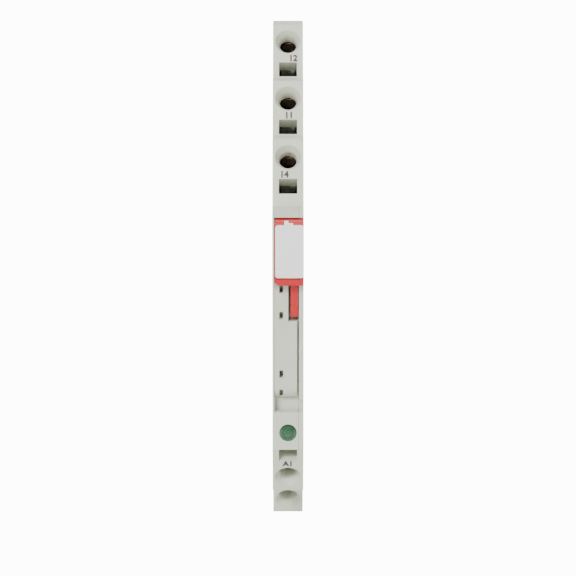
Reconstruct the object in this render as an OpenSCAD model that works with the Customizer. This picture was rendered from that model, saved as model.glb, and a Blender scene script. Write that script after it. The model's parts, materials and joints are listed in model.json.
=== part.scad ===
// Slim interface relay module for a 35 mm top-hat rail.
// X is the module's width, -Y points to the front, +Z up. The origin lies on the rail seat,
// level with the rail's centreline. Side outlines are drawn as [h, z], with h = distance in
// front of the rail seat.

/* [Body] */
// Width of the module
body_w = 6.2; // [5.8:0.1:8]
// Height of the top end above the rail's centreline
top_z = 50.6; // [48:0.5:62]
// Depth of the bottom end below the rail's centreline
bottom_z = 50.7; // [48:0.5:62]
// Distance from the rail seat to the front face
front_h = 72.9; // [72:0.1:90]
// Thickness of the outer walls
wall = 1.2; // [0.9:0.1:1.6]
// Thickness of the side cover
cover_t = 1.0; // [0.8:0.1:1.2]
// Thickness of the left wall beside the relay
thin_wall = 0.35; // [0.3:0.05:0.5]

/* [Terminals] */
// Tilt of the terminal treads from upright
tilt = 30.5; // [26:0.5:34]
// Spacing of the upper treads along the height
step_z = 10.25; // [10.2:0.05:11.4]
// Step between one upper tread and the next
riser = 5.3; // [5:0.1:6.4]
// Radius of the wire entry bore
bore_r = 1.8; // [1.4:0.05:2.1]
// Radius of the funnel's mouth
funnel_r = 2.62; // [2.4:0.02:2.8]
// Depth of the funnel
funnel_depth = 1.6; // [1:0.1:2.4]
// Depth of the solid block behind a tread
block_depth = 4.0; // [3.6:0.1:6.4]
// Width of the screwdriver slot
slot_w = 3.65; // [3:0.05:4]
// Length of the screwdriver slot along the tread
slot_len = 3.15; // [2.6:0.05:3.3]
// Width of the spring strip and the current bar
strip_w = 3.0; // [2.4:0.1:3]
// Thickness of the current bar
bar_t = 0.6; // [0.5:0.05:0.8]

/* [Rail] */
// Width of the rail
rail_w = 35.0; // [35:0.1:35]
// Thickness of the rail's lip
rail_t = 1.0; // [1:0.1:1.5]
// Travel of the rail foot
foot_travel = 3.0; // [2:0.1:3.2]

/* [Relay] */
// Height of the relay case
relay_len = 30.0; // [29:0.2:31]
// Depth of the relay case
relay_depth = 17.9; // [17:0.1:18.5]
// Wall thickness of the relay case
case_t = 0.6; // [0.5:0.05:0.7]
// Length of the relay's pins
pin_len = 3.6; // [3:0.1:4.4]
// Contact gap of the open contact
contact_gap = 0.6; // [0.55:0.05:0.8]

/* [Lever] */
// Radius of the lever's knuckle
knuckle_r = 1.45; // [1.3:0.05:1.6]
// Radius of the lever's pivot pin
pin_r = 0.5; // [0.4:0.05:0.6]
// Length of the marker plate
marker_len = 10.45; // [9:0.05:10.6]
// Thickness of the marker plate
marker_t = 0.65; // [0.5:0.05:0.7]

/* [Hidden] */
$fn = 48;
// clearances
seam = 0.04;
run_fit = 0.05;
rail_play = 0.2;
case_play = 0.05;
overcut = 1;

half_w = body_w / 2;
seam_x = half_w - cover_t;
bay_x = -half_w + thin_wall;

// treads
step_h = step_z * tan(tilt);
long_extra = 2.05;
// the lever, the shoulder over it and the last upper tread hang together
pivot_h = front_h + 0.5;
pivot_z = 14.8;
shoulder_gap = 0.2;
shoulder_z = pivot_z + knuckle_r + shoulder_gap;
shoulder_h = pivot_h + 0.7;
head_end_z = top_z - 3 * step_z - long_extra;
first_h = front_h - 34.1;
label_top = -23.0;
label_bot = -30.7;
pocket_top = -20.4;
pocket_depth = 2.5;
a1_outer_z = label_bot - 10.0;
a1_outer_h = front_h - 10.0 * tan(tilt);
a2_riser = 12.8;
a2_outer_h = a1_outer_h - a2_riser - (bottom_z + a1_outer_z) * tan(tilt);

// rail notch and foot
seat_half = rail_w / 2 - 1.9;
hook_z = rail_w / 2 + rail_play;
hook_h = -rail_t - rail_play - 0.05;
hook_back = -4.2;
hook_tip_z = rail_w / 2 - 1.1;
relief = 0.35;
rear_top_z = 23;
rear_bot_z = -30;
tower_top_back = 8.3;
tower_bot_back = 22.3;

// wire axes: distance from a tread's outer end to the funnel and from there to the slot
funnel_in = 3.85;
slot_in = 6.2;

// terminal metal, in the terminal's own frame: [along the tread, out of the tread]
bar_y = 1.5;
hinge_p = [-7.2, -10.4];
blade_tip = [1.2, -9.4];
blade_t = 0.5;
ring_in = 0.65;
ring_out = 1.15;
leg_t = 0.5;
shelf_z = hinge_p[1] - ring_out - 0.05;
shelf_end = -5.5;
leg_end = -4.6;

// relay, placed from its top rear corner
relay_top = 11.8;
relay_bot = relay_top - relay_len;
relay_rear = front_h - relay_depth;
case_x0 = bay_x + case_play;
case_x1 = seam_x - case_play;
inner_x0 = case_x0 + case_t;
inner_x1 = case_x1 - case_t;
mid_x = (inner_x0 + inner_x1) / 2;
base_t = 1.4;
// heights of the contact pins (closed, common, open) and of the coil's pins
pin_z = [9.6, 5.4, 1.6, -9.6, -13.1];
pin_d = 0.9;
contact_pivot_h = relay_rear + 2.0;
knuckle_out = 0.75;
arm_pivot_h = relay_rear + 2.6;
arm_z = -0.9;
arm_len = 10.0;
arm_t = 0.7;
card_h = arm_pivot_h + arm_len;
coil_h = arm_pivot_h + 4.9;
coil_bot = -15.4;
coil_top = -2.6;
leaf_t = 0.25;
tube_h = 1.6;
flange_h = 3.6;
flange_t = 0.8;
core_x = 0.43;
yoke_t = 0.8;
pole_z = arm_z - arm_t / 2 - 0.55;
inner_front = front_h - 3.0;
// terminal names in the order of the terminals list
names = ["12", "11", "14", "a1", "a2"];
// forks: distance of their base behind the relay, and the lead strips beside them
fork_back = 7.5;
fork_len = 6.0;
fork_half = 1.0;
lead_x0 = -seam_x + 0.02;
lead_x1 = -strip_w / 2;
lead_w = 1.3;
tab_half = 0.42;
knee_r = 0.78;
board_t = 0.5;
cap_r = 1.6;
cap_len = 7;
rivet_h = contact_pivot_h + 7.5;
rivet_r = 0.8;
rivet_t = 0.4;

lens_z = -27.2;
lens_r = 1.68;
lens_depth = 1.7;

// slots for plug-in bridges
bridge_z = [1.9, -3.35, -15.2, -19.1];
bridge_x = -1.34;
bridge_w = 0.73;
bridge_len = 1.45;

rear_top_h = 3.0;
rim_t = 1.3;
slant_wall = 1.7;
roof_z = relay_top + 0.2 + wall;
floor_z = relay_bot - 0.2 - wall;
nose_h = front_h - 2.9;
back_of_lens = front_h - 3.2;
partition_y = -10.4;
partition_t = 0.8;

// lever
ear_r = 1.0;
lever_bot = 3.1;
plate_back = pivot_h + 0.1;
plate_h = pivot_h + knuckle_r;
lip_len = 1.3;
lip_h = plate_h + marker_t;
toe_r = 0.45;
toe_tip = [pivot_h - 2.0, pivot_z - 2.9];
leg_x0 = 0.5;
leg_x1 = 2.0;
leg_back = front_h - 1.1;
leg_fold = -1.1;
leg_bot = -3.8;
groove_bot = -4.5;
groove_x0 = 0.05;
groove_depth = 2.6;
nose_r = 2.6;
rebate = 0.3;
marker_bot = lever_bot + lip_len + 0.3;
marker_mid = marker_bot + marker_len / 2;
marker_x0 = bay_x + 0.25;
peg_r = 0.7;
clip_t = 0.15;

// foot
foot_w = 3.6;
bar_h0 = 1.7;
bar_h1 = 4.2;
foot_bar_top = -6.5;
foot_bar_bot = -23.0;
foot_leg_bot = -21.0;
foot_end = -34.0;
spring_h = 6.2;
spring_r = 1.2;
wire_r = 0.2;
spring_bot = -15.2;
lug_t = 1.2;
spring_top = foot_bar_top - lug_t;
spring_turns = 6;
spring_sides = 6;
turn_steps = 14;

// Treads: distance in front of the rail at height z, moved back by d
function up_h(i, z, d) = first_h + i * (step_h + riser) + (top_z - i * step_z - z) * tan(tilt) - d;
function a1_h(z, d) = a1_outer_h + (z - a1_outer_z) * tan(tilt) - d;
function a2_h(z, d) = a2_outer_h + (z + bottom_z) * tan(tilt) - d;
// One point on an upper tread's line
function up_at(i, z, d) = [up_h(i, z, d), z];
// The stairs of treads, from the bottom up, set back by d and down by dz
function upper_stairs(z_end, d, dz) = [
  for (i = [2:-1:0])
    for (z = [i == 2 ? z_end : top_z - (i + 1) * step_z - dz, top_z - i * step_z - dz])
      up_at(i, z, d)
];
function lower_stairs(z_end, d, dz) = [
  [a2_h(-bottom_z + dz, d), -bottom_z + dz],
  [a2_h(a1_outer_z + dz, d), a1_outer_z + dz],
  [a1_h(a1_outer_z + dz, d), a1_outer_z + dz],
  [a1_h(z_end, d), z_end]
];
// The slanted walls towards the rail, set in by d
function top_rear_h(z, d) =
  rear_top_h + d + (z - rear_top_z) * (first_h - tower_top_back - rear_top_h) / (top_z - rear_top_z);
function bot_rear_h(z, d) =
  relief + d + (rear_bot_z - z) * (a2_outer_h - tower_bot_back - relief) / (rear_bot_z + bottom_z);
// The edge towards the rail: hook, notch and seat
rear_edge = [
  [rear_top_h, rear_top_z],
  [hook_back, rear_top_z - 2],
  [hook_back, hook_tip_z],
  [hook_h, hook_tip_z],
  [hook_h, hook_z],
  [relief, hook_z],
  [relief, seat_half],
  [0, seat_half],
  [0, -seat_half],
  [relief, -seat_half],
  [relief, rear_bot_z]
];
// The front between the two groups of treads, from the bottom up
mid_front = [
  [front_h, label_bot],
  [front_h, shoulder_z],
  [shoulder_h, shoulder_z]
];
function outline(rim) = concat(
  upper_stairs(head_end_z, rim, rim),
  [[top_rear_h(top_z - rim, 0), top_z - rim]],
  rear_edge,
  [[bot_rear_h(-bottom_z + rim, 0), -bottom_z + rim]],
  lower_stairs(label_bot, rim, rim),
  mid_front,
  rim > 0 ? [up_at(2, head_end_z, 0)] : []
);

// Turns a side outline drawn as [h, z] into a slab between two widths
module slab(x0, x1) {
  rotate([90, 0, -90]) translate([0, 0, -x1]) linear_extrude(x1 - x0) children();
}
// A bar of a side outline between two points
module bar2d(a, b, t) {
  d = b - a;
  translate(a) rotate(atan2(d[1], d[0])) translate([0, -t / 2]) square([norm(d), t]);
}
// A rod along X
module rod(h, z, r, x0, x1) {
  slab(x0, x1) translate([h, z]) circle(r);
}
// A block between two side corners
module block(x0, x1, h0, h1, z0, z1) {
  translate([x0, -h1, z0]) cube([x1 - x0, h1 - h0, z1 - z0]);
}
// Terminal frames: the funnel's centre is the origin, Z points out, Y to the tread's outer end
terminals = [
  [up_h(0, top_z - funnel_in * cos(tilt), 0), top_z - funnel_in * cos(tilt), 1],
  [up_h(1, top_z - step_z - funnel_in * cos(tilt), 0), top_z - step_z - funnel_in * cos(tilt), 1],
  [up_h(2, top_z - 2 * step_z - funnel_in * cos(tilt), 0), top_z - 2 * step_z - funnel_in * cos(tilt), 1],
  [a1_h(a1_outer_z + funnel_in * cos(tilt), 0), a1_outer_z + funnel_in * cos(tilt), -1],
  [a2_h(-bottom_z + funnel_in * cos(tilt), 0), -bottom_z + funnel_in * cos(tilt), -1]
];
module at_terminal(i) {
  t = terminals[i];
  mirror([0, 0, t[2] < 0 ? 1 : 0])
    translate([0, -t[0], t[1] * t[2]])
      rotate([90 - tilt, 0, 0]) children();
}
// Terminal metal drawn as [y, z] of that frame, as a strip of width w
module strip(w) {
  rotate([90, 0, 90]) translate([0, 0, -w / 2]) linear_extrude(w) children();
}

module wire_entry() {
  translate([0, 0, -block_depth - overcut]) cylinder(r = bore_r, h = block_depth + overcut);
  translate([0, 0, -funnel_depth]) cylinder(r1 = bore_r, r2 = funnel_r, h = funnel_depth);
  translate([0, 0, -seam]) cylinder(r = funnel_r, h = overcut);
  translate([-slot_w / 2, -slot_in - slot_len / 2, -block_depth - overcut])
    cube([slot_w, slot_len, block_depth + 2 * overcut]);
}

// Room inside the housing, a C round the relay bay
module room2d() {
  polygon(concat(
    upper_stairs(roof_z, block_depth / cos(tilt), wall),
    [[top_rear_h(top_z - wall, slant_wall), top_z - wall]],
    [[top_rear_h(rear_top_z, slant_wall), rear_top_z]],
    [[wall, hook_tip_z]],
    [[wall, rear_bot_z + wall]],
    [[bot_rear_h(-bottom_z + wall, slant_wall), -bottom_z + wall]],
    lower_stairs(lens_z - lens_r, block_depth / cos(tilt), wall),
    [[back_of_lens, lens_z - lens_r]],
    [[back_of_lens, floor_z]],
    [[relay_rear - wall, floor_z]],
    [[relay_rear - wall, roof_z]]
  ));
}
module bay2d() {
  polygon([
    [relay_rear - case_play, relay_bot - case_play],
    [nose_h, relay_bot - case_play],
    [nose_h, pocket_top],
    [front_h + overcut, pocket_top],
    [front_h + overcut, shoulder_z],
    [nose_h, shoulder_z],
    [nose_h, relay_top + case_play],
    [relay_rear - case_play, relay_top + case_play]
  ]);
}
module foot_slot() {
  block(-foot_w / 2 - run_fit, foot_w / 2 + run_fit, -overcut, wall + overcut,
    foot_leg_bot - foot_travel - rail_play, -hook_z + rail_play);
}
module main_housing() {
  color([0.80, 0.80, 0.77]) difference() {
    union() {
      slab(-half_w, seam_x) polygon(outline(0));
      // rims of the treads, as wide as the whole module
      slab(seam_x, half_w) difference() {
        polygon(outline(0));
        polygon(outline(rim_t));
      }
      // left cheek beside the lever
      slab(-half_w, bay_x) translate([front_h - overcut, lever_bot])
        square([pivot_h + knuckle_r - front_h + overcut, shoulder_z - lever_bot + seam]);
    }
    difference() {
      slab(-seam_x, half_w + overcut) intersection() {
        room2d();
        polygon(outline(rim_t));
      }
      // partitions between the terminal chambers
      for (i = [0, 1, 4]) at_terminal(i)
        translate([-half_w, partition_y, shelf_z + 0.8]) cube([half_w + seam_x, partition_t, -shelf_z - 4]);
      // seats of the foot's spring and of the foot's bar
      block(-half_w, seam_x, wall - seam, spring_h + 2, spring_bot - 1.2, spring_bot);
    }
    block(-foot_w / 2 - run_fit, foot_w / 2 + run_fit, bar_h0 - run_fit, bar_h1 + run_fit,
      foot_bar_bot - foot_travel - rail_play, foot_bar_top + overcut);
    slab(bay_x, half_w + overcut) bay2d();
    // finger pocket under the relay
    block(-seam_x - case_t, seam_x, front_h - pocket_depth, front_h + overcut, label_top, pocket_top + seam);
    // pin holes into the relay bay
    for (z = pin_z) block(mid_x - 0.6, mid_x + 0.6, relay_rear - 2 * wall, relay_rear, z - 0.8, z + 0.8);
    foot_slot();
    // seat of the light's lens
    translate([0, -back_of_lens + overcut, lens_z]) rotate([90, 0, 0]) cylinder(r = lens_r + run_fit, h = 8);
    for (i = [0:4]) at_terminal(i) wire_entry();
    // room for the circuit board and the lead strips
    slab(-seam_x, lead_x1 + 2 * run_fit) {
      board2d();
      for (i = [0:2]) lead2d(i, run_fit);
    }
    rod(pivot_h, pivot_z, pin_r, -half_w - overcut, half_w + overcut);
  }
}
module side_cover() {
  color([0.80, 0.80, 0.77]) difference() {
    union() {
      slab(seam_x + seam, half_w) difference() {
        polygon(outline(rim_t + seam));
        block2d(front_h - pocket_depth, front_h + overcut, label_top, pocket_top);
        // relief behind the lever's knuckle, above the ear's root
        intersection() {
          translate([pivot_h, pivot_z]) circle(knuckle_r + 0.1);
          block2d(pivot_h - 3, pivot_h + 3, pivot_z + 0.55, shoulder_z);
        }
      }
      slab(seam_x + seam, half_w) translate([pivot_h, pivot_z]) circle(ear_r);
    }
    rod(pivot_h, pivot_z, pin_r, 0, half_w + overcut);
  }
}
module block2d(h0, h1, z0, z1) {
  translate([h0, z0]) square([h1 - h0, z1 - z0]);
}

// Lever
module ejector_lever() {
  color([0.80, 0.13, 0.15]) difference() {
    union() {
      slab(bay_x + run_fit, seam_x - seam) {
        translate([pivot_h, pivot_z]) circle(knuckle_r);
        bar2d([pivot_h, pivot_z], toe_tip, 2 * toe_r);
        translate(toe_tip) circle(toe_r);
      }
      // plate and lip in front of the side cover
      slab(bay_x + run_fit, half_w) difference() {
        union() {
          translate([pivot_h, pivot_z]) circle(knuckle_r);
          block2d(plate_back, plate_h, lever_bot, pivot_z);
          polygon([
            [plate_back, lever_bot],
            [lip_h - 0.3, lever_bot],
            [lip_h, lever_bot + 0.3],
            [lip_h, lever_bot + lip_len],
            [plate_h, lever_bot + lip_len + 0.2]
          ]);
        }
        // room for the ear of the side cover
        translate([pivot_h, pivot_z]) circle(ear_r + 0.12);
        block2d(pivot_h - 3, plate_back, lever_bot - 1, pivot_z + 3);
      }
      // leg that reaches down into the groove of the relay case
      slab(leg_x0, leg_x1) polygon([
        [leg_back, lever_bot + 1],
        [leg_back, leg_fold],
        [leg_back - 0.4, leg_bot],
        [leg_back + 0.5, leg_bot],
        [front_h + 0.1, leg_fold],
        [front_h + 0.1, lever_bot],
        [plate_h, lever_bot + 1]
      ]);
    }
    rod(pivot_h, pivot_z, pin_r + run_fit, -half_w, half_w);
    // hole for the marker's peg
    translate([0, -plate_h - overcut, marker_mid]) rotate([-90, 0, 0]) cylinder(r = peg_r, h = 3 * overcut);
    // cut corner of the lip
    translate([bay_x + run_fit, -lip_h - 0.1, lever_bot]) rotate([0, 45, 0])
      translate([-0.6, 0, -0.6]) cube([1.2, 6, 1.2]);
  }
}
module marker_plate() {
  color([0.94, 0.94, 0.93]) {
    translate([marker_x0, -plate_h - run_fit, marker_bot])
      rounded_plate(half_w - marker_x0, marker_len, marker_t, 0.5);
    translate([0, -plate_h - run_fit - seam, marker_mid]) rotate([-90, 0, 0])
      cylinder(r = peg_r - run_fit, h = 1);
    marker_clip(-0.73, 0.1, 1.1);
    marker_clip(0, 1, 0.7);
  }
}
// A clip that grips the lever's knuckle, between two widths and up to a height over the pivot
module marker_clip(x0, x1, height) {
  slab(x0, x1) intersection() {
    difference() {
      translate([pivot_h, pivot_z]) circle(knuckle_r + clip_t);
      translate([pivot_h, pivot_z]) circle(knuckle_r + seam / 2);
    }
    block2d(pivot_h, pivot_h + 2 * knuckle_r, pivot_z + 0.1, pivot_z + height);
  }
}
// A plate with round corners that faces the front
module rounded_plate(w, l, t, r) {
  rotate([90, 0, 0]) linear_extrude(t) union() {
    translate([r, 0]) square([w - 2 * r, l]);
    translate([0, r]) square([w, l - 2 * r]);
    for (x = [r, w - r])
      for (y = [r, l - r]) translate([x, y]) circle(r);
  }
}
module lever_pin() {
  color([0.75, 0.76, 0.78]) rod(pivot_h, pivot_z, pin_r - seam / 2, -half_w + 0.1, half_w - 0.1);
}
module status_lens() {
  color([0.15, 0.50, 0.30]) translate([0, -front_h + lens_depth, lens_z]) rotate([90, 0, 0]) {
    cylinder(r = lens_r, h = lens_depth);
    translate([0, 0, lens_depth]) cylinder(r1 = lens_r, r2 = lens_r - 0.35, h = 0.3);
  }
}

// Rail foot and its spring
module rail_foot() {
  color([0.25, 0.26, 0.27]) difference() {
    slab(-foot_w / 2, foot_w / 2) {
      block2d(bar_h0, bar_h1, foot_bar_bot, foot_bar_top);
      block2d(bar_h0, spring_h + spring_r + 0.5, spring_top, foot_bar_top);
      block2d(hook_back, bar_h1, foot_leg_bot, -hook_z - rail_play);
      polygon([
        [hook_back, foot_end],
        [-relief, foot_end],
        [-relief, -hook_z - rail_play],
        [hook_h, -hook_z - rail_play],
        [hook_h, -hook_tip_z],
        [hook_h - 0.8, -hook_tip_z],
        [hook_back, -hook_tip_z - 2.2]
      ]);
    }
    // hole for the screwdriver that pulls the foot
    block(-foot_w / 2 + 0.8, foot_w / 2 - 0.8, hook_back - overcut, 0, foot_end + 1.2, foot_end + 2.8);
  }
}
function coil_point(i, j) =
  let (a = 360 * i / turn_steps, b = 360 * j / spring_sides, r = spring_r + wire_r * cos(b))
  [r * cos(a), r * sin(a), wire_r * sin(b) + (spring_len - 2 * wire_r) * i / (spring_turns * turn_steps)];
spring_len = spring_top - spring_bot;
module foot_spring() {
  rings = spring_turns * turn_steps;
  n = spring_sides;
  points = [for (i = [0:rings]) for (j = [0:n - 1]) coil_point(i, j)];
  sides = [for (i = [0:rings - 1]) for (j = [0:n - 1])
    [i * n + j, i * n + (j + 1) % n, (i + 1) * n + (j + 1) % n, (i + 1) * n + j]];
  color([0.7, 0.71, 0.73]) translate([0, -spring_h, spring_bot + wire_r])
    polyhedron(points, concat([for (f = sides) [f[3], f[2], f[1], f[0]]],
      [[for (j = [0:n - 1]) j], [for (j = [n - 1:-1:0]) rings * n + j]]), 4);
}

// Terminal metal
module clamp_spring(i) {
  color([0.78, 0.79, 0.80]) at_terminal(i) strip(strip_w - 0.12) {
    difference() {
      translate(hinge_p) circle(ring_out);
      translate(hinge_p) circle(ring_in);
      translate(hinge_p) polygon([[0, 0], 3 * [cos(36), sin(36)], [3, 0], 3 * [cos(34), -sin(34)]]);
    }
    translate([hinge_p[0], hinge_p[1] - ring_out]) square([leg_end - hinge_p[0], leg_t]);
  }
}
module clamp_blade(i) {
  color([0.78, 0.79, 0.80]) at_terminal(i) strip(strip_w - 0.2) {
    translate(hinge_p) circle(ring_in - run_fit);
    bar2d(hinge_p, blade_tip, blade_t);
  }
}
module current_bar(i) {
  color([0.80, 0.52, 0.34]) {
    at_terminal(i) strip(strip_w) {
      translate([bar_y, shelf_z - bar_t]) square([bar_t, -block_depth - 0.4 - shelf_z + bar_t]);
      translate([shelf_end, shelf_z - bar_t]) square([bar_y + bar_t - shelf_end, bar_t]);
    }
    if (i < 3) {
      last = lead_path(i)[2];
      slab(lead_x0, lead_x1 + seam) lead2d(i, 0);
      block(lead_x1, mid_x - fork_half, last[0] - tab_half, last[0] + tab_half,
        last[1] - tab_half, last[1] + tab_half);
    } else {
      q = shelf_at(i);
      block(lead_x0 + board_t, lead_x1 + seam, q[0] - 0.8, q[0] + 0.8, q[1] - 0.8, q[1] + 0.8);
    }
  }
}
// Where a current bar's shelf ends, as [h, z]
function shelf_at(i) =
  let (t = terminals[i], y = shelf_end + 1, d = shelf_z - bar_t / 2)
  [t[0] - y * sin(tilt) + d * cos(tilt), t[1] + t[2] * (y * cos(tilt) + d * sin(tilt))];
function lead_path(i) =
  i == 0 ? [shelf_at(0), [relay_rear - 14, pin_z[0] + 6], [relay_rear - 6.9, pin_z[0]]] :
  i == 1 ? [shelf_at(1), [relay_rear - 4.6, pin_z[0] + 4], [relay_rear - 4.6, pin_z[1]]] :
  [shelf_at(2), [relay_rear - 2.4, pin_z[0] + 5], [relay_rear - 2.4, pin_z[2]]];
// A lead strip's outline, widened by extra on each side
module lead2d(i, extra) {
  path = lead_path(i);
  for (k = [1:2]) {
    bar2d(path[k - 1], path[k], lead_w + 2 * extra);
    translate(path[k - 1]) circle(knee_r + extra);
    translate(path[k]) circle(knee_r + extra);
  }
}
module contact_fork(i) {
  pin = pin_z[i];
  color([0.82, 0.68, 0.40]) {
    block(mid_x - fork_half, mid_x + fork_half, relay_rear - fork_back, relay_rear - fork_back + 1,
      pin - pin_d, pin + pin_d);
    for (side = [0, 1])
      block(side == 0 ? mid_x - fork_half : mid_x + 0.3, side == 0 ? mid_x - 0.3 : mid_x + fork_half,
        relay_rear - fork_back + 1, relay_rear - fork_back + fork_len, pin - pin_d / 2, pin + pin_d / 2);
  }
}

// Circuit board and what it carries
board_x1 = lead_x0 + board_t;
module board2d() {
  polygon([
    [relay_rear - 18, a1_outer_z + 1],
    [relay_rear - 5, a1_outer_z + 1],
    [relay_rear + 2, lens_z - 3.6],
    [back_of_lens - 0.3, lens_z - 1.4],
    [back_of_lens - 0.3, lens_z + 2.4],
    [relay_rear - 1.6, lens_z + 2.4],
    [relay_rear - 1.6, pin_z[3] + 2],
    [relay_rear - 9, pin_z[3] + 2],
    [relay_rear - 9, floor_z],
    [relay_rear - 18, floor_z - 3]
  ]);
}
module circuit_board() {
  color([0.12, 0.35, 0.22]) slab(lead_x0, board_x1) board2d();
}
module status_led() {
  color([0.90, 0.92, 0.85]) block(board_x1, board_x1 + 1.5, back_of_lens - 1.6, back_of_lens - 0.3,
    lens_z - 0.8, lens_z + 0.8);
}
module bridge_rectifier() {
  color([0.10, 0.10, 0.11]) block(board_x1, board_x1 + 1.5, relay_rear - 15, relay_rear - 10.5,
    lens_z - 2, lens_z + 2);
}
module resistors() {
  color([0.13, 0.13, 0.15]) for (k = [0:2])
    block(board_x1, board_x1 + 0.6, relay_rear - 3, relay_rear + 0.2,
      lens_z + 0.4 - 2.6 * k, lens_z + 2 - 2.6 * k);
}
module smoothing_capacitor() {
  color([0.20, 0.22, 0.30]) translate([board_x1 + cap_r, -relay_rear + 6.2, floor_z - 3 - cap_len])
    cylinder(r = cap_r, h = cap_len);
}
module suppression_diode() {
  color([0.12, 0.12, 0.12]) translate([board_x1 + 0.9, -relay_rear + 3.2, lens_z + 4]) cylinder(r = 0.9, h = 4);
}

// Relay
module relay_case() {
  color([0.79, 0.80, 0.77]) difference() {
    slab(case_x0, case_x1) difference() {
      union() {
        block2d(relay_rear, front_h, relay_bot, relay_top);
        block2d(nose_h + case_play, front_h, pocket_top + case_play, relay_bot + overcut);
      }
      // round lower end of the front
      difference() {
        block2d(front_h - nose_r, front_h + overcut, pocket_top - overcut, pocket_top + nose_r);
        translate([front_h - nose_r, pocket_top + case_play + nose_r]) circle(nose_r);
      }
    }
    slab(inner_x0, inner_x1)
      block2d(relay_rear - overcut, inner_front, relay_bot + case_t, relay_top - case_t);
    // notch for the lever's toe, behind a lip
    slab(case_x0 - overcut, case_x1 + overcut) {
      block2d(toe_tip[0] - 0.8, toe_tip[0] + toe_r + 0.15, relay_top - 1.35, relay_top + overcut);
      block2d(toe_tip[0], front_h + overcut, relay_top - 0.4, relay_top + overcut);
    }
    // groove for the lever's leg
    block(groove_x0, seam_x, front_h - groove_depth, front_h + overcut, groove_bot, relay_top - 2.4);
    // rebate beside the side cover
    block(seam_x - rebate, seam_x, front_h - 1.6, front_h + overcut, pocket_top, groove_bot + seam);
    for (z = bridge_z) block(bridge_x - bridge_w / 2, bridge_x + bridge_w / 2,
      front_h - 2.5, front_h + overcut, z - bridge_len / 2, z + bridge_len / 2);
  }
}
module relay_base() {
  color([0.15, 0.16, 0.17]) difference() {
    block(inner_x0 + run_fit, inner_x1 - run_fit, relay_rear, relay_rear + base_t,
      relay_bot + case_t + run_fit, relay_top - case_t - run_fit);
    for (z = pin_z) pin_shape(z, run_fit);
    rod(contact_pivot_h, pin_z[1], knuckle_out + run_fit, inner_x0, inner_x1);
  }
}
module pin_shape(z, extra) {
  block(mid_x - 0.25 - extra, mid_x + 0.25 + extra, relay_rear - pin_len, relay_rear + base_t + 0.3,
    z - pin_d / 2 - extra, z + pin_d / 2 + extra);
}
module coil_pins() {
  color([0.80, 0.80, 0.78]) for (k = [3, 4]) pin_shape(pin_z[k], 0);
}
module coil_bobbin() {
  color([0.88, 0.86, 0.78]) difference() {
    union() {
      for (z = [coil_bot, coil_top - flange_t])
        block(inner_x0 + run_fit, inner_x1 - run_fit, coil_h - flange_h, coil_h + flange_h, z, z + flange_t);
      block(mid_x - core_x - 0.4, mid_x + core_x + 0.4, coil_h - tube_h, coil_h + tube_h, coil_bot, coil_top);
    }
    block(mid_x - core_x - seam, mid_x + core_x + seam, coil_h - tube_h + 0.5, coil_h + tube_h - 0.5,
      coil_bot - overcut, coil_top + overcut);
  }
}
module coil_winding() {
  r = 1.55;
  color([0.72, 0.36, 0.18]) difference() {
    translate([mid_x, -coil_h, coil_bot + flange_t + seam])
      linear_extrude(coil_top - coil_bot - 2 * flange_t - 2 * seam) union() {
        for (side = [-1, 1]) translate([0, side * (flange_h - 0.4 - r)]) circle(r);
        translate([-r, -(flange_h - 0.4 - r)]) square([2 * r, 2 * (flange_h - 0.4 - r)]);
      }
    block(mid_x - core_x - 0.4 - seam, mid_x + core_x + 0.4 + seam, coil_h - tube_h - seam,
      coil_h + tube_h + seam, coil_bot, coil_top);
  }
}
module coil_core() {
  color([0.60, 0.61, 0.63]) block(mid_x - core_x, mid_x + core_x, coil_h - tube_h + 0.55,
    coil_h + tube_h - 0.55, coil_bot - 0.1 - yoke_t, pole_z);
}
module yoke() {
  color([0.62, 0.63, 0.65]) difference() {
    slab(mid_x - 1.4, mid_x + 1.4) {
      block2d(arm_pivot_h - 0.6, arm_pivot_h + 0.2, coil_bot - 0.1 - yoke_t, arm_z - 0.6);
      block2d(arm_pivot_h - 0.6, coil_h + flange_h - 1, coil_bot - 0.1 - yoke_t, coil_bot - 0.1);
      difference() {
        translate([arm_pivot_h, arm_z]) circle(0.95);
        translate([arm_pivot_h, arm_z]) circle(0.5);
        translate([arm_pivot_h, arm_z - 0.62]) square([2, 1.24]);
      }
    }
    block(mid_x - core_x - 0.02, mid_x + core_x + 0.02, coil_h - tube_h + 0.53, coil_h + tube_h - 0.53,
      coil_bot - 2, coil_bot);
  }
}
module armature() {
  color([0.66, 0.67, 0.69]) slab(mid_x - 1.25, mid_x + 1.25) {
    translate([arm_pivot_h, arm_z]) circle(0.5 - run_fit);
    block2d(arm_pivot_h, card_h + 0.8, arm_z - arm_t / 2, arm_z + arm_t / 2);
  }
}
module actuator_card() {
  color([0.93, 0.92, 0.88]) difference() {
    slab(mid_x - 1.7, mid_x + 1.7)
      block2d(card_h - 0.6, card_h + 0.6, arm_z - arm_t / 2 - 0.8, pin_z[1] + 0.9);
    slab(mid_x - 1.35, mid_x + 1.35) {
      block2d(card_h - 1, card_h + 1, arm_z - arm_t / 2 - 0.08, arm_z + arm_t / 2 + 0.08);
      block2d(card_h - 1, card_h + 1, pin_z[1] - leaf_t / 2 - 0.08, pin_z[1] + leaf_t / 2 + 0.08);
    }
  }
}
module rivet(z, t) {
  translate([mid_x, -rivet_h, z]) cylinder(r = rivet_r, h = t);
}
module common_terminal() {
  color([0.82, 0.62, 0.40]) {
    slab(mid_x - 1.2, mid_x + 1.2) difference() {
      translate([contact_pivot_h, pin_z[1]]) circle(knuckle_out);
      translate([contact_pivot_h, pin_z[1]]) circle(0.4);
      translate([contact_pivot_h, pin_z[1] - 0.45]) square([2, 0.9]);
    }
    pin_shape(pin_z[1], 0);
  }
}
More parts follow.
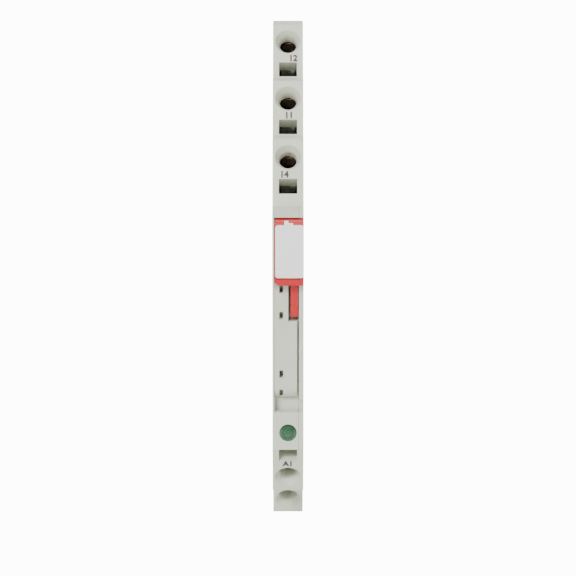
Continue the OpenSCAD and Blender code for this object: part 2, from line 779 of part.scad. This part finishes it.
module moving_contact() {
  color([0.84, 0.66, 0.42]) {
    slab(mid_x - 1.1, mid_x + 1.1) {
      translate([contact_pivot_h, pin_z[1]]) circle(0.4 - run_fit);
      block2d(contact_pivot_h, card_h + 1.2, pin_z[1] - leaf_t / 2, pin_z[1] + leaf_t / 2);
    }
    rivet(pin_z[1] - leaf_t / 2 - rivet_t, 2 * rivet_t + leaf_t);
  }
}
// A fixed contact: pin, leaf at height z_leaf and its rivet
module fixed_contact(z_pin, z_leaf, z_rivet) {
  low = min(z_pin, z_leaf) - leaf_t / 2;
  high = max(z_pin, z_leaf) + leaf_t / 2;
  color([0.82, 0.62, 0.40]) {
    pin_shape(z_pin, 0);
    block(mid_x - 1.1, mid_x + 1.1, relay_rear + base_t + 0.05, relay_rear + base_t + 0.3, low, high);
    block(mid_x - 1.1, mid_x + 1.1, relay_rear + base_t + 0.05, rivet_h + 1.2,
      z_leaf - leaf_t / 2, z_leaf + leaf_t / 2);
    rivet(z_rivet, rivet_t);
  }
}
closed_rivet = pin_z[1] + leaf_t / 2 + rivet_t + 0.03;
open_rivet = pin_z[1] - leaf_t / 2 - rivet_t - contact_gap;
module closed_contact() {
  fixed_contact(pin_z[0], closed_rivet + rivet_t + leaf_t / 2, closed_rivet);
}
module open_contact() {
  fixed_contact(pin_z[2], open_rivet - rivet_t - leaf_t / 2, open_rivet - rivet_t);
}

main_housing();
side_cover();
rail_foot();
foot_spring();
lever_pin();
ejector_lever();
marker_plate();
status_lens();
status_led();
circuit_board();
bridge_rectifier();
resistors();
smoothing_capacitor();
suppression_diode();
relay_case();
relay_base();
coil_pins();
coil_bobbin();
coil_winding();
coil_core();
yoke();
armature();
actuator_card();
common_terminal();
moving_contact();
closed_contact();
open_contact();
clamp_spring(0);  // clamp_spring_12
clamp_spring(1);  // clamp_spring_11
clamp_spring(2);  // clamp_spring_14
clamp_spring(3);  // clamp_spring_a1
clamp_spring(4);  // clamp_spring_a2
clamp_blade(0);  // clamp_blade_12
clamp_blade(1);  // clamp_blade_11
clamp_blade(2);  // clamp_blade_14
clamp_blade(3);  // clamp_blade_a1
clamp_blade(4);  // clamp_blade_a2
current_bar(0);  // current_bar_12
current_bar(1);  // current_bar_11
current_bar(2);  // current_bar_14
current_bar(3);  // current_bar_a1
current_bar(4);  // current_bar_a2
contact_fork(0);  // contact_fork_12
contact_fork(1);  // contact_fork_11
contact_fork(2);  // contact_fork_14
contact_fork(3);  // contact_fork_a1
contact_fork(4);  // contact_fork_a2
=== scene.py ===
import json
import math
import bmesh
import bpy
import numpy as np
from mathutils import Matrix, Vector


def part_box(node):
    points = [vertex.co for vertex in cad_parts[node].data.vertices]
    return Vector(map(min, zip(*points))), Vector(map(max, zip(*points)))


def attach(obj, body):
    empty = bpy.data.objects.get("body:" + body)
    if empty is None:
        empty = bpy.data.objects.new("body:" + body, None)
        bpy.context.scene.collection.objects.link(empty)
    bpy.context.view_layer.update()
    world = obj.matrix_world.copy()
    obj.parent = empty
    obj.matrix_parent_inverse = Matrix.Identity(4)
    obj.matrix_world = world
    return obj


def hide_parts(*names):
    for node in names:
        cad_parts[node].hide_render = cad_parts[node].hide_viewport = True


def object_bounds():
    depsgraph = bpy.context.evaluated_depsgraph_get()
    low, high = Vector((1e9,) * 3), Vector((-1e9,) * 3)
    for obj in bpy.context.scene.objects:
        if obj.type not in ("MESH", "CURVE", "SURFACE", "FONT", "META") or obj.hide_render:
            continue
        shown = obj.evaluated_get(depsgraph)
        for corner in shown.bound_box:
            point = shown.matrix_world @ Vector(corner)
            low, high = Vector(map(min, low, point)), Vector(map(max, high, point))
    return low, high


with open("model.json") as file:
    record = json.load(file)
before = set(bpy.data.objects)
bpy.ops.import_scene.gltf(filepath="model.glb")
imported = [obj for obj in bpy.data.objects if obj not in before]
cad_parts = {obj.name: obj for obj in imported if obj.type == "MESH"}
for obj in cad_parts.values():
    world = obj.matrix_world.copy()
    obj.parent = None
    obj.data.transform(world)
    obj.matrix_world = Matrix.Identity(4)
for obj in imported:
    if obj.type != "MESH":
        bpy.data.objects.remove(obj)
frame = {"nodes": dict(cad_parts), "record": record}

cadLow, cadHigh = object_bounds()
mm = 0.001
mounts = {m["name"]: m for m in frame["record"]["mounts"]}
bodyOf = {n: b for b, ns in frame["record"]["behaviour"]["bodies"].items() for n in ns}
slotOf = {s["node"]: s["material_slot"] for s in frame["record"]["subparts"]}
print("frame loaded:", len(frame["nodes"]), "nodes")


# ---- camera first, at eye height of someone in front of the open cabinet
cameraSet = {"distance": 0.520, "elevation": 11.5, "lens": 162.5, "aim": (0.0, -0.0645, 0.0005)}


def placeCamera(s):
    aim = Vector(s["aim"])
    tilt = math.radians(s["elevation"])
    camData = bpy.data.cameras.new("viewCamera")
    camData.lens = s["lens"]
    camData.sensor_width = 36
    camData.clip_start = 0.01
    camData.clip_end = 20
    cam = bpy.data.objects.new("viewCamera", camData)
    bpy.context.collection.objects.link(cam)
    cam.location = aim + s["distance"] * Vector((0, -math.cos(tilt), math.sin(tilt)))
    cam.rotation_euler = (aim - cam.location).to_track_quat("-Z", "Y").to_euler()
    bpy.context.scene.camera = cam


placeCamera(cameraSet)
print("camera placed")


# ---- shader groups shared by the finishes
def groupSockets(group, ins, outs):
    for name, kind, value in ins:
        sock = group.interface.new_socket(name=name, in_out="INPUT", socket_type=kind)
        if value is not None:
            sock.default_value = value
    for name, kind in outs:
        group.interface.new_socket(name=name, in_out="OUTPUT", socket_type=kind)


surfaceOutputs = [("Colour", "NodeSocketColor"),
                  ("Roughness", "NodeSocketFloat"),
                  ("Height", "NodeSocketFloat")]
reliefDistance = 0.06 * mm


def mouldedSkinGroup():
    # spark-eroded mould texture: fine pits and a faint cloudy tint
    g = bpy.data.node_groups.new("mouldedSkin", "ShaderNodeTree")
    groupSockets(g,
                 [("Colour", "NodeSocketColor", (0.8, 0.8, 0.8, 1)),
                  ("Grain size", "NodeSocketFloat", 9000.0),
                  ("Tint", "NodeSocketFloat", 0.06),
                  ("Rough low", "NodeSocketFloat", 0.42),
                  ("Rough high", "NodeSocketFloat", 0.6)],
                 surfaceOutputs)
    n, link = g.nodes, g.links.new
    start, end = n.new("NodeGroupInput"), n.new("NodeGroupOutput")
    coord = n.new("ShaderNodeTexCoord")
    grain, cloud = n.new("ShaderNodeTexNoise"), n.new("ShaderNodeTexNoise")
    cloud.inputs["Scale"].default_value = 260
    cloud.inputs["Detail"].default_value = 5
    grain.inputs["Detail"].default_value = 3
    for tex in (grain, cloud):
        link(coord.outputs["Object"], tex.inputs["Vector"])
    link(start.outputs["Grain size"], grain.inputs["Scale"])
    shade = n.new("ShaderNodeMapRange")
    shade.inputs["From Min"].default_value = 0.3
    shade.inputs["From Max"].default_value = 0.7
    shade.inputs["To Min"].default_value = 1.0
    link(cloud.outputs["Fac"], shade.inputs["Value"])
    dim = n.new("ShaderNodeMath")
    dim.operation = "SUBTRACT"
    dim.inputs[0].default_value = 1.0
    link(start.outputs["Tint"], dim.inputs[1])
    link(dim.outputs[0], shade.inputs["To Max"])
    tint = n.new("ShaderNodeVectorMath")
    tint.operation = "SCALE"
    link(start.outputs["Colour"], tint.inputs[0])
    link(shade.outputs["Result"], tint.inputs["Scale"])
    link(tint.outputs["Vector"], end.inputs["Colour"])
    rough = n.new("ShaderNodeMapRange")
    link(grain.outputs["Fac"], rough.inputs["Value"])
    link(start.outputs["Rough low"], rough.inputs["To Min"])
    link(start.outputs["Rough high"], rough.inputs["To Max"])
    link(rough.outputs["Result"], end.inputs["Roughness"])
    link(grain.outputs["Fac"], end.inputs["Height"])
    return g


def rolledMetalGroup():
    # strip metal: fine rolling lines across the strip and dull patches
    g = bpy.data.node_groups.new("rolledMetal", "ShaderNodeTree")
    groupSockets(g,
                 [("Colour", "NodeSocketColor", (0.8, 0.8, 0.8, 1)),
                  ("Dull colour", "NodeSocketColor", (0.5, 0.5, 0.5, 1)),
                  ("Dullness", "NodeSocketFloat", 0.5)],
                 surfaceOutputs)
    n, link = g.nodes, g.links.new
    start, end = n.new("NodeGroupInput"), n.new("NodeGroupOutput")
    coord, stretch = n.new("ShaderNodeTexCoord"), n.new("ShaderNodeMapping")
    stretch.inputs["Scale"].default_value = (300, 9000, 9000)
    link(coord.outputs["Object"], stretch.inputs["Vector"])
    lines, patches = n.new("ShaderNodeTexNoise"), n.new("ShaderNodeTexNoise")
    lines.inputs["Scale"].default_value = 1
    patches.inputs["Scale"].default_value = 700
    link(stretch.outputs["Vector"], lines.inputs["Vector"])
    link(coord.outputs["Object"], patches.inputs["Vector"])
    amount = n.new("ShaderNodeMath")
    amount.operation = "MULTIPLY"
    link(patches.outputs["Fac"], amount.inputs[0])
    link(start.outputs["Dullness"], amount.inputs[1])
    blend = n.new("ShaderNodeMix")
    blend.data_type = "RGBA"
    link(amount.outputs[0], blend.inputs["Factor"])
    link(start.outputs["Colour"], blend.inputs["A"])
    link(start.outputs["Dull colour"], blend.inputs["B"])
    link(blend.outputs["Result"], end.inputs["Colour"])
    rough = n.new("ShaderNodeMapRange")
    rough.inputs["To Min"].default_value = 0.22
    rough.inputs["To Max"].default_value = 0.5
    link(patches.outputs["Fac"], rough.inputs["Value"])
    link(rough.outputs["Result"], end.inputs["Roughness"])
    link(lines.outputs["Fac"], end.inputs["Height"])
    return g


mouldedSkin = mouldedSkinGroup()
rolledMetal = rolledMetalGroup()


def finish(name, group, values, bump=0.1, metallic=0.0, coat=0.0, specular=0.5):
    mat = bpy.data.materials.new(name)
    mat.use_nodes = True
    n, link = mat.node_tree.nodes, mat.node_tree.links.new
    shader = n["Principled BSDF"]
    shader.inputs["Metallic"].default_value = metallic
    shader.inputs["Coat Weight"].default_value = coat
    shader.inputs["Coat Roughness"].default_value = 0.2
    shader.inputs["Specular IOR Level"].default_value = specular
    skin = n.new("ShaderNodeGroup")
    skin.node_tree = group
    for key, value in values.items():
        skin.inputs[key].default_value = value
    relief = n.new("ShaderNodeBump")
    relief.inputs["Strength"].default_value = bump
    relief.inputs["Distance"].default_value = reliefDistance
    link(skin.outputs["Colour"], shader.inputs["Base Color"])
    link(skin.outputs["Roughness"], shader.inputs["Roughness"])
    link(skin.outputs["Height"], relief.inputs["Height"])
    link(relief.outputs["Normal"], shader.inputs["Normal"])
    return mat


def plastic(name, colour, low, high, tint=0.05, grain=9000.0, bump=0.25, coat=0.0):
    values = {"Colour": (*colour, 1), "Grain size": grain, "Tint": tint}
    values.update({"Rough low": low, "Rough high": high})
    return finish(name, mouldedSkin, values, bump=bump, coat=coat)


def metal(name, colour, dull, dullness):
    values = {"Colour": (*colour, 1), "Dull colour": (*dull, 1), "Dullness": dullness}
    return finish(name, rolledMetal, values, bump=0.2, metallic=1.0)


finishes = {
    "housing_grey": plastic("housingGrey", (0.67, 0.69, 0.57), 0.42, 0.6),
    "case_grey": plastic("caseGrey", (0.635, 0.655, 0.54), 0.4, 0.58),
    "lever_red": plastic("leverRed", (0.55, 0.004, 0.007), 0.3, 0.45, 0.08, 7000.0, 0.15, 0.15),
    "marker_white": plastic("markerWhite", (0.95, 0.95, 0.94), 0.35, 0.5, 0.03, 12000.0, 0.1),
    "foot_dark": plastic("footDark", (0.045, 0.047, 0.05), 0.45, 0.65),
    "bobbin_cream": plastic("bobbinCream", (0.72, 0.68, 0.55), 0.4, 0.55),
    "base_black": plastic("baseBlack", (0.02, 0.02, 0.023), 0.4, 0.6),
    "board_green": plastic("boardGreen", (0.012, 0.09, 0.035), 0.25, 0.4, 0.2, 3000.0, 0.1, 0.4),
    "chip_black": plastic("chipBlack", (0.018, 0.018, 0.02), 0.35, 0.5),
    "led_white": plastic("ledWhite", (0.75, 0.78, 0.66), 0.15, 0.3, 0.05, 9000.0, 0.05, 0.5),
    "spring_steel": metal("springSteel", (0.3, 0.3, 0.29), (0.12, 0.12, 0.11), 0.8),
    "pin_steel": metal("pinSteel", (0.62, 0.63, 0.64), (0.4, 0.4, 0.41), 0.4),
    "copper_alloy": metal("copperAlloy", (0.42, 0.27, 0.22), (0.16, 0.1, 0.08), 0.9),
    "contact_alloy": metal("contactAlloy", (0.78, 0.62, 0.34), (0.5, 0.36, 0.18), 0.6),
    "soft_iron": metal("softIron", (0.5, 0.5, 0.51), (0.28, 0.28, 0.29), 0.7),
    "winding_copper": metal("windingCopper", (0.7, 0.3, 0.12), (0.4, 0.14, 0.05), 0.5),
}
printInk = plastic("printInk", (0.035, 0.037, 0.035), 0.5, 0.65, 0.25, 9000.0, 0.1)


def lensFinish():
    mat = plastic("lensGreen", (0.018, 0.11, 0.04), 0.1, 0.2, 0.5, 2200.0, 0.15, 0.8)
    mat.node_tree.nodes["Principled BSDF"].inputs["IOR"].default_value = 1.49
    return mat


finishes["lens_green"] = lensFinish()
for nodeName, nodeObject in frame["nodes"].items():
    nodeObject.data.materials.clear()
    nodeObject.data.materials.append(finishes[slotOf[nodeName]])
print("finishes made:", len(finishes))


# ---- helpers that put worked-out surfaces into meshes
def addPiece(name, mesh, material, body):
    mesh.materials.clear()
    mesh.materials.append(material)
    piece = bpy.data.objects.new(name, mesh)
    bpy.context.collection.objects.link(piece)
    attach(piece, body)
    return piece


def gridMesh(name, points, closeU=False, closeV=False):
    # points is an array (rows, columns, 3); neighbours in both directions make the quads
    rows, cols = points.shape[:2]
    across, along = np.arange(rows if closeU else rows - 1), np.arange(cols if closeV else cols - 1)
    i, j = np.meshgrid(across, along, indexing="ij")
    ip, jp = (i + 1) % rows, (j + 1) % cols
    quads = np.stack([i * cols + j, i * cols + jp, ip * cols + jp, ip * cols + j], axis=-1).reshape(-1, 4)
    mesh = bpy.data.meshes.new(name)
    mesh.from_pydata(points.reshape(-1, 3).tolist(), [], quads.tolist())
    bm = bmesh.new()
    bm.from_mesh(mesh)
    bmesh.ops.remove_doubles(bm, verts=bm.verts, dist=1e-8)
    bmesh.ops.recalc_face_normals(bm, faces=bm.faces)
    bm.to_mesh(mesh)
    bm.free()
    return mesh


def softEdges(nodeName, pieceName, width, segments=2):
    # the CAD solid again, merged, with the small moulded radius that its edges really have
    source = frame["nodes"][nodeName]
    mesh = source.data.copy()
    bm = bmesh.new()
    bm.from_mesh(mesh)
    bmesh.ops.remove_doubles(bm, verts=bm.verts, dist=2e-6)
    bmesh.ops.dissolve_limit(bm, angle_limit=math.radians(0.5), verts=bm.verts, edges=bm.edges)
    bm.to_mesh(mesh)
    bm.free()
    mesh.name = pieceName
    mesh.shade_smooth()
    mesh.set_sharp_from_angle(angle=math.radians(32))
    piece = addPiece(pieceName, mesh, finishes[slotOf[nodeName]], bodyOf[nodeName])
    bevel = piece.modifiers.new("mouldRadius", "BEVEL")
    bevel.width = width
    bevel.segments = segments
    bevel.limit_method = "ANGLE"
    bevel.angle_limit = math.radians(35)
    bevel.use_clamp_overlap = True
    bevel.harden_normals = True
    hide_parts(nodeName)
    return piece


softSet = {
    "main_housing": ("housingShell", 0.12 * mm),
    "side_cover": ("coverShell", 0.10 * mm),
    "relay_case": ("caseShell", 0.10 * mm),
    "ejector_lever": ("leverShell", 0.12 * mm),
    "marker_plate": ("markerShell", 0.14 * mm),
    "rail_foot": ("footShell", 0.15 * mm),
}
for nodeName, (pieceName, radius) in softSet.items():
    softEdges(nodeName, pieceName, radius)
print("moulded shells softened")


# ---- status light: a green cap with a low crown, one groove and faint facets inside the groove
lensSet = {"rings": 40, "around": 96, "facets": 8, "facetDepth": 0.12 * mm, "crown": 0.22 * mm,
           "grooveAt": 0.62, "grooveWide": 0.05, "grooveDeep": 0.12 * mm,
           "facetEdge": 0.56, "facetSoft": 0.03}


def lensPiece(s):
    # radius runs from 0 at the pole to 1 at the rim; the depth behind the front is crown * r^2,
    # plus a groove round r = grooveAt, plus facets that come and go with the angle inside the groove
    low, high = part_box("status_lens")
    centre = (low + high) / 2
    rimR = (high.x - low.x) / 2
    front = low.y
    r = np.linspace(0, 1, s["rings"])[:, None]
    a = np.linspace(0, 2 * math.pi, s["around"], endpoint=False)[None, :]
    groove = np.exp(-((r - s["grooveAt"]) / s["grooveWide"]) ** 2)
    inside = 1 / (1 + np.exp((r - s["facetEdge"]) / s["facetSoft"]))
    facet = np.abs(((a * s["facets"] / (2 * math.pi)) % 1) - 0.5) * 2
    depth = s["crown"] * r ** 2 + s["grooveDeep"] * groove + s["facetDepth"] * inside * facet * r + 0 * a
    x, z = centre.x + rimR * r * np.cos(a), centre.z + rimR * r * np.sin(a)
    face = np.stack([x, front + depth, z], axis=-1)
    side = face[-1:].copy()
    side[..., 1] = high.y
    back = np.broadcast_to(np.array([centre.x, high.y, centre.z]), side.shape)
    mesh = gridMesh("lensCap", np.concatenate([face, side, back]), closeV=True)
    mesh.shade_smooth()
    mesh.set_sharp_from_angle(angle=math.radians(25))
    piece = addPiece("lensCap", mesh, finishes["lens_green"], "root")
    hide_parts("status_lens")


lensPiece(lensSet)
print("status light made")


# ---- coil: the outer layer of the winding with every turn showing
coilSet = {"turns": 58, "across": 8, "around": 72, "swell": 0.06 * mm, "steepness": 6}


def coilPiece(s):
    # a rounded block cross-section carried along Z; its radius swells and sinks once a turn
    low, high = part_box("coil_winding")
    centre, half = (low + high) / 2, (high - low) / 2
    t = np.linspace(0, 1, s["turns"] * s["across"] + 1)[:, None]
    a = np.linspace(0, 2 * math.pi, s["around"], endpoint=False)[None, :]
    turn = s["swell"] * (1 - np.abs(np.sin(math.pi * s["turns"] * t)))
    corner = half.x
    straight = half.y - corner
    x = (corner - turn) * np.cos(a)
    y = (corner - turn) * np.sin(a) + straight * np.clip(np.sin(a) * s["steepness"], -1, 1)
    z = low.z + (high.z - low.z) * t + 0 * a
    ring = np.stack([centre.x + x, centre.y + y, z], axis=-1)
    caps = [np.broadcast_to(np.array([centre.x, centre.y, v]), ring[:1].shape) for v in (low.z, high.z)]
    mesh = gridMesh("coilTurns", np.concatenate([caps[0], ring, caps[1]]), closeV=True)
    mesh.shade_smooth()
    piece = addPiece("coilTurns", mesh, finishes["winding_copper"], "relay")
    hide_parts("coil_winding")


coilPiece(coilSet)
print("coil wound")


# ---- terminal numbers, printed between each funnel and its screwdriver slot
printSet = {"size": 1.9 * mm, "bold": 0.075 * mm, "inward": 3.75 * mm, "mountDepth": 2.8 * mm,
            "thick": 0.03 * mm, "narrow": 0.92,
            "words": {"12": 1.05, "11": 0.2, "14": -0.75, "a1": 0.0, "a2": 0.0}}


def numberPiece(key, shift, s):
    mount = mounts["wire_entry_" + key]
    out = Vector(mount["axis"]).normalized()
    side = 1 if out.z > 0 else -1
    outerWay = Vector((0, side * out.z, -side * out.y))
    middle = Vector(mount["pos_m"]) + out * s["mountDepth"] - outerWay * s["inward"]
    middle.x = shift * mm
    up = outerWay * side
    curve = bpy.data.curves.new("number_" + key, "FONT")
    curve.body = key.upper()
    curve.size = s["size"]
    curve.extrude = s["thick"]
    curve.offset = s["bold"]
    curve.align_x = "CENTER"
    curve.align_y = "CENTER"
    holder = bpy.data.objects.new("numberHolder_" + key, curve)
    bpy.context.collection.objects.link(holder)
    bpy.context.view_layer.update()
    mesh = bpy.data.meshes.new_from_object(holder.evaluated_get(bpy.context.evaluated_depsgraph_get()))
    bpy.data.objects.remove(holder)
    place = Matrix((Vector((s["narrow"], 0, 0)), up, out)).transposed().to_4x4()
    place.translation = middle
    mesh.transform(place)
    addPiece("printedNumber_" + key, mesh, printInk, "root")


for key, shift in printSet["words"].items():
    numberPiece(key, shift, printSet)
print("numbers printed")


# ---- faint raised rims round three of the bridge slots
rimSet = {"width": 0.16 * mm, "height": 0.05 * mm, "slotX": -1.34 * mm,
          "halfX": 0.365 * mm, "halfZ": 0.725 * mm, "clear": 0.02 * mm, "squareness": 0.22,
          "heights": (1.9 * mm, -3.35 * mm, -15.2 * mm), "perSide": 6, "profile": 7}


def slotRim(index, z, front, s):
    # a half-round bead, its profile angle v running 0..pi, carried round a rounded rectangle by u
    u = np.linspace(0, 2 * math.pi, 8 * s["perSide"], endpoint=False)[:, None]
    v = np.linspace(0, math.pi, s["profile"])[None, :]
    ux = np.sign(np.cos(u)) * np.abs(np.cos(u)) ** s["squareness"]
    uz = np.sign(np.sin(u)) * np.abs(np.sin(u)) ** s["squareness"]
    reach = s["width"] / 2 * (1 - np.cos(v))
    x = s["slotX"] + ux * (s["halfX"] + s["clear"] + reach)
    zz = z + uz * (s["halfZ"] + s["clear"] + reach)
    y = front - s["height"] * np.sin(v) + 0 * u
    mesh = gridMesh("slotRim_%d" % index, np.stack([x, y, zz], axis=-1), closeU=True)
    mesh.shade_smooth()
    addPiece("slotRim_%d" % index, mesh, finishes["case_grey"], "relay")


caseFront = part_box("relay_case")[0].y
for index, z in enumerate(rimSet["heights"]):
    slotRim(index, z, caseFront, rimSet)
print("slot rims made")


# ---- stage: a pale sweep, far enough under the module to leave it clear
stageSet = {"below": 0.055, "half": 1.6, "back": 0.5, "rise": 1.4, "bend": 0.35, "glow": 12.0}


def sweep(s):
    # flat floor up to the bend, a quarter circle of radius bend, then a wall; one profile pulled along X
    floorZ = cadLow.z - s["below"]
    a = np.linspace(0, math.pi / 2, 24)
    y = np.concatenate([[-s["half"] * 1.5], s["back"] + s["bend"] * np.sin(a), [s["back"] + s["bend"]]])
    z = np.concatenate([[0], s["bend"] * (1 - np.cos(a)), [s["rise"]]]) + floorZ
    x = np.array([-s["half"], s["half"]])
    points = np.stack(np.broadcast_arrays(x[:, None], y[None, :], z[None, :]), axis=-1)
    mesh = gridMesh("sweep", points)
    mesh.shade_smooth()
    paper = plastic("sweepPaper", (0.9, 0.905, 0.9), 0.7, 0.9, 0.01, 400.0, 0.02)
    # it glows for camera rays only, so the sheet reads as white and its glow lights nothing
    nodes, link = paper.node_tree.nodes, paper.node_tree.links.new
    path, glow = nodes.new("ShaderNodeLightPath"), nodes.new("ShaderNodeMath")
    glow.operation = "MULTIPLY"
    glow.inputs[1].default_value = s["glow"]
    link(path.outputs["Is Camera Ray"], glow.inputs[0])
    shader = nodes["Principled BSDF"]
    shader.inputs["Emission Color"].default_value = (0.99, 1, 0.99, 1)
    link(glow.outputs[0], shader.inputs["Emission Strength"])
    mesh.materials.append(paper)
    stage = bpy.data.objects.new("sweep", mesh)
    bpy.context.collection.objects.link(stage)


def areaLight(name, at, aim, size, power):
    data = bpy.data.lights.new(name, "AREA")
    data.shape = "DISK"
    data.size = size
    data.energy = power
    light = bpy.data.objects.new(name, data)
    bpy.context.collection.objects.link(light)
    light.location = at
    light.rotation_euler = (Vector(aim) - Vector(at)).to_track_quat("-Z", "Y").to_euler()


sweep(stageSet)
lightAim = (0, -0.05, 0)
roomStrength = 0.36
lightSet = {"key": ((-0.30, -0.85, 0.55), 0.35, 11.0), "fill": ((0.8, -0.7, 0.1), 0.6, 1.6),
            "top": ((0.0, -0.2, 0.9), 0.4, 3.4), "rear": ((0.3, 0.5, 0.5), 0.5, 2.8)}
for name, (at, size, power) in lightSet.items():
    areaLight(name, at, lightAim, size, power)
world = bpy.data.worlds.new("softRoom")
world.use_nodes = True
world.node_tree.nodes["Background"].inputs["Color"].default_value = (1, 1, 1, 1)
world.node_tree.nodes["Background"].inputs["Strength"].default_value = roomStrength
bpy.context.scene.world = world
print("stage and light set")
